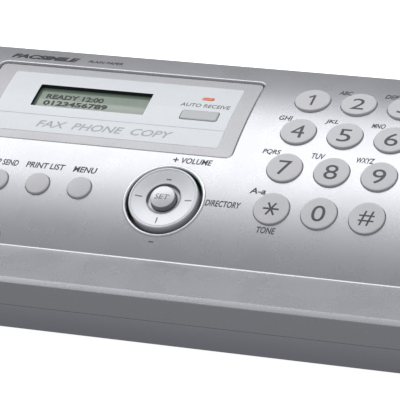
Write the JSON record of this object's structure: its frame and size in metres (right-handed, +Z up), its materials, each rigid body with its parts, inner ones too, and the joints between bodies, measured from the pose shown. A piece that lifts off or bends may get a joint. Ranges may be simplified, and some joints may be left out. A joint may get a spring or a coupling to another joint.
{
  "type": "fax machine",
  "caption": "Desktop plain-paper fax: curved silver key panel that swings open, handset on a side cradle, folding paper support, film printer inside.",
  "frame": {"origin": "centre of the footprint, on the surface that the feet stand on", "axes": "+X to the user's right along the width, -Y towards the user, +Z up"},
  "size_m": [0.355, 0.228, 0.0795],
  "materials": {
    "silver_paint": "silver metallic paint on moulded plastic, satin",
    "charcoal": "fine textured dark grey moulding",
    "key_grey": "satin light grey key cap",
    "plate": "pale bluish display plate, semi-gloss",
    "lcd": "greenish grey display glass",
    "lens": "translucent orange lens",
    "white_plastic": "off-white inner moulding",
    "smoke": "smoke grey moulding",
    "rubber": "matt black rubber",
    "film": "black transfer film wound on a core",
    "steel": "plain steel",
    "gear": "natural acetal",
    "board": "green circuit board"
  },
  "bodies": {
    "base": {"bottom_case": "charcoal", "upper_housing": "silver_paint", "cradle_housing": "silver_paint", "front_foot": "rubber", "rear_foot": "rubber", "main_board": "board", "power_supply": "board", "drive_motor": "steel", "speaker": "steel", "thermal_head": "steel", "scanner_bar": "rubber", "film_cover": "white_plastic"},
    "control_cover": {"front_cover": "silver_paint", "cover_underplate": "white_plastic", "key_board": "board", "display_plate": "plate", "lcd_module": "lcd", "led_lens": "lens"},
    "platen": {"platen_roller": "rubber", "platen_gear": "gear"},
    "handset": {"handset_lower": "silver_paint", "handset_upper": "silver_paint"},
    "idler_gear": {"idler_gear": "gear"},
    "motor_pinion": {"motor_pinion": "gear"},
    "film_takeup_roll": {"film_takeup_roll": "film"},
    "film_supply_roll": {"film_supply_roll": "film"},
    "document_roller": {"document_roller": "rubber"},
    "pickup_roller": {"pickup_roller": "rubber"},
    "exit_flap": {"exit_flap": "charcoal"},
    "paper_support": {"paper_support": "smoke"},
    "support_extension": {"support_extension": "smoke"},
    "document_guide_left": {"document_guide_left": "smoke"},
    "document_guide_right": {"document_guide_right": "smoke"},
    "hook_switch": {"hook_switch": "smoke"},
    "nav_gimbal": {"nav_gimbal": "white_plastic"},
    "nav_key": {"nav_key": "key_grey"},
    "key_1": {"key_1": "key_grey"},
    "key_2": {"key_2": "key_grey"},
    "key_3": {"key_3": "key_grey"},
    "key_4": {"key_4": "key_grey"},
    "key_5": {"key_5": "key_grey"},
    "key_6": {"key_6": "key_grey"},
    "key_7": {"key_7": "key_grey"},
    "key_8": {"key_8": "key_grey"},
    "key_9": {"key_9": "key_grey"},
    "key_star": {"key_star": "key_grey"},
    "key_0": {"key_0": "key_grey"},
    "key_hash": {"key_hash": "key_grey"},
    "key_broadcast": {"key_broadcast": "key_grey"},
    "key_print_report": {"key_print_report": "key_grey"},
    "key_menu": {"key_menu": "key_grey"},
    "key_redial": {"key_redial": "key_grey"},
    "key_flash": {"key_flash": "key_grey"},
    "key_mute": {"key_mute": "key_grey"},
    "key_monitor": {"key_monitor": "key_grey"},
    "key_copy": {"key_copy": "key_grey"},
    "key_start": {"key_start": "key_grey"},
    "key_stop": {"key_stop": "key_grey"},
    "key_auto_answer": {"key_auto_answer": "plate"},
    "key_set": {"key_set": "key_grey"}
  },
  "joints": [
    {"name": "cover_open", "type": "hinge", "parent": "base", "child": "control_cover", "pos_m": [0, -0.113, 0.0135], "axis": [1, 0, 0], "range_deg": [0, 60]},
    {"name": "handset_lift", "type": "slide", "parent": "base", "child": "handset", "axis": [0, -0.1053, 0.9944], "range_m": [0, 0.06]},
    {"name": "hook_rise", "type": "slide", "parent": "base", "child": "hook_switch", "axis": [0, -0.1053, 0.9944], "range_m": [0, 0.003]},
    {"name": "support_fold", "type": "hinge", "parent": "base", "child": "paper_support", "pos_m": [0, 0.108, 0.0434], "axis": [-1, 0, 0], "range_deg": [0, 105]},
    {"name": "extension_pull", "type": "slide", "parent": "paper_support", "child": "support_extension", "axis": [0, -0.9666, 0.2562], "range_m": [0, 0.033]},
    {"name": "exit_flap_fold", "type": "hinge", "parent": "base", "child": "exit_flap", "pos_m": [0, -0.1127, 0.0032], "axis": [1, 0, 0], "range_deg": [0, 85]},
    {"name": "guide_left_slide", "type": "slide", "parent": "base", "child": "document_guide_left", "axis": [1, 0, 0], "range_m": [0, 0.045]},
    {"name": "guide_right_slide", "type": "slide", "parent": "base", "child": "document_guide_right", "axis": [1, 0, 0], "range_m": [-0.045, 0]},
    {"name": "platen_spin", "type": "hinge", "parent": "base", "child": "platen", "pos_m": [0, -0.068, 0.014], "axis": [1, 0, 0], "continuous": true},
    {"name": "idler_spin", "type": "hinge", "parent": "base", "child": "idler_gear", "pos_m": [0, -0.04575, 0.023], "axis": [1, 0, 0], "continuous": true},
    {"name": "pinion_spin", "type": "hinge", "parent": "base", "child": "motor_pinion", "pos_m": [0, -0.02774, 0.0334], "axis": [1, 0, 0], "continuous": true},
    {"name": "takeup_spin", "type": "hinge", "parent": "base", "child": "film_takeup_roll", "pos_m": [0, -0.046, 0.0275], "axis": [1, 0, 0], "continuous": true},
    {"name": "supply_spin", "type": "hinge", "parent": "base", "child": "film_supply_roll", "pos_m": [0, -0.018, 0.027], "axis": [1, 0, 0], "continuous": true},
    {"name": "document_roller_spin", "type": "hinge", "parent": "base", "child": "document_roller", "pos_m": [0, 0, 0.0572], "axis": [1, 0, 0], "continuous": true},
    {"name": "pickup_roller_spin", "type": "hinge", "parent": "base", "child": "pickup_roller", "pos_m": [0, 0.034, 0.024], "axis": [1, 0, 0], "continuous": true},
    {"name": "key_1_press", "type": "slide", "parent": "control_cover", "child": "key_1", "axis": [0, -0.3578, 0.9338], "range_m": [-0.0015, 0], "stiffness_N_per_m": 400},
    {"name": "key_2_press", "type": "slide", "parent": "control_cover", "child": "key_2", "axis": [0, -0.3578, 0.9338], "range_m": [-0.0015, 0], "stiffness_N_per_m": 400},
    {"name": "key_3_press", "type": "slide", "parent": "control_cover", "child": "key_3", "axis": [0, -0.3578, 0.9338], "range_m": [-0.0015, 0], "stiffness_N_per_m": 400},
    {"name": "key_4_press", "type": "slide", "parent": "control_cover", "child": "key_4", "axis": [0, -0.466, 0.8848], "range_m": [-0.0015, 0], "stiffness_N_per_m": 400},
    {"name": "key_5_press", "type": "slide", "parent": "control_cover", "child": "key_5", "axis": [0, -0.466, 0.8848], "range_m": [-0.0015, 0], "stiffness_N_per_m": 400},
    {"name": "key_6_press", "type": "slide", "parent": "control_cover", "child": "key_6", "axis": [0, -0.466, 0.8848], "range_m": [-0.0015, 0], "stiffness_N_per_m": 400},
    {"name": "key_7_press", "type": "slide", "parent": "control_cover", "child": "key_7", "axis": [0, -0.5676, 0.8233], "range_m": [-0.0015, 0], "stiffness_N_per_m": 400},
    {"name": "key_8_press", "type": "slide", "parent": "control_cover", "child": "key_8", "axis": [0, -0.5676, 0.8233], "range_m": [-0.0015, 0], "stiffness_N_per_m": 400},
    {"name": "key_9_press", "type": "slide", "parent": "control_cover", "child": "key_9", "axis": [0, -0.5676, 0.8233], "range_m": [-0.0015, 0], "stiffness_N_per_m": 400},
    {"name": "key_star_press", "type": "slide", "parent": "control_cover", "child": "key_star", "axis": [0, -0.6612, 0.7503], "range_m": [-0.0015, 0], "stiffness_N_per_m": 400},
    {"name": "key_0_press", "type": "slide", "parent": "control_cover", "child": "key_0", "axis": [0, -0.6612, 0.7503], "range_m": [-0.0015, 0], "stiffness_N_per_m": 400},
    {"name": "key_hash_press", "type": "slide", "parent": "control_cover", "child": "key_hash", "axis": [0, -0.6612, 0.7503], "range_m": [-0.0015, 0], "stiffness_N_per_m": 400},
    {"name": "key_broadcast_press", "type": "slide", "parent": "control_cover", "child": "key_broadcast", "axis": [0, -0.6573, 0.7536], "range_m": [-0.0015, 0], "stiffness_N_per_m": 400},
    {"name": "key_print_report_press", "type": "slide", "parent": "control_cover", "child": "key_print_report", "axis": [0, -0.6573, 0.7536], "range_m": [-0.0015, 0], "stiffness_N_per_m": 400},
    {"name": "key_menu_press", "type": "slide", "parent": "control_cover", "child": "key_menu", "axis": [0, -0.6573, 0.7536], "range_m": [-0.0015, 0], "stiffness_N_per_m": 400},
    {"name": "key_redial_press", "type": "slide", "parent": "control_cover", "child": "key_redial", "axis": [0, -0.3578, 0.9338], "range_m": [-0.0015, 0], "stiffness_N_per_m": 400},
    {"name": "key_flash_press", "type": "slide", "parent": "control_cover", "child": "key_flash", "axis": [0, -0.466, 0.8848], "range_m": [-0.0015, 0], "stiffness_N_per_m": 400},
    {"name": "key_mute_press", "type": "slide", "parent": "control_cover", "child": "key_mute", "axis": [0, -0.5676, 0.8233], "range_m": [-0.0015, 0], "stiffness_N_per_m": 400},
    {"name": "key_monitor_press", "type": "slide", "parent": "control_cover", "child": "key_monitor", "axis": [0, -0.6612, 0.7503], "range_m": [-0.0015, 0], "stiffness_N_per_m": 400},
    {"name": "key_copy_press", "type": "slide", "parent": "control_cover", "child": "key_copy", "axis": [0, -0.3968, 0.9179], "range_m": [-0.0015, 0], "stiffness_N_per_m": 400},
    {"name": "key_start_press", "type": "slide", "parent": "control_cover", "child": "key_start", "axis": [0, -0.534, 0.8455], "range_m": [-0.0015, 0], "stiffness_N_per_m": 400},
    {"name": "key_stop_press", "type": "slide", "parent": "control_cover", "child": "key_stop", "axis": [0, -0.6583, 0.7528], "range_m": [-0.0015, 0], "stiffness_N_per_m": 400},
    {"name": "key_auto_answer_press", "type": "slide", "parent": "control_cover", "child": "key_auto_answer", "axis": [0, -0.4377, 0.8991], "range_m": [-0.001, 0], "stiffness_N_per_m": 400},
    {"name": "key_set_press", "type": "slide", "parent": "control_cover", "child": "key_set", "axis": [0, -0.6635, 0.7482], "range_m": [-0.0015, 0], "stiffness_N_per_m": 400},
    {"name": "nav_left_right", "type": "hinge", "parent": "control_cover", "child": "nav_gimbal", "pos_m": [0.0232, -0.07122, 0.04062], "axis": [0, 0.7482, 0.6635], "range_deg": [-3, 3], "stiffness_Nm_per_rad": 0.2},
    {"name": "nav_up_down", "type": "hinge", "parent": "nav_gimbal", "child": "nav_key", "pos_m": [0.0232, -0.07122, 0.04062], "axis": [1, 0, 0], "range_deg": [-3, 3], "stiffness_Nm_per_rad": 0.2}
  ],
  "couplings": [
    {"joint": "idler_spin", "follows": "platen_spin", "ratio": -0.5},
    {"joint": "pinion_spin", "follows": "platen_spin", "ratio": 1.6667},
    {"joint": "takeup_spin", "follows": "platen_spin", "ratio": -0.92105},
    {"joint": "supply_spin", "follows": "platen_spin", "ratio": -0.56},
    {"joint": "guide_right_slide", "follows": "guide_left_slide", "ratio": -1},
    {"joint": "hook_rise", "follows": "handset_lift", "ratio": 0.05}
  ]
}
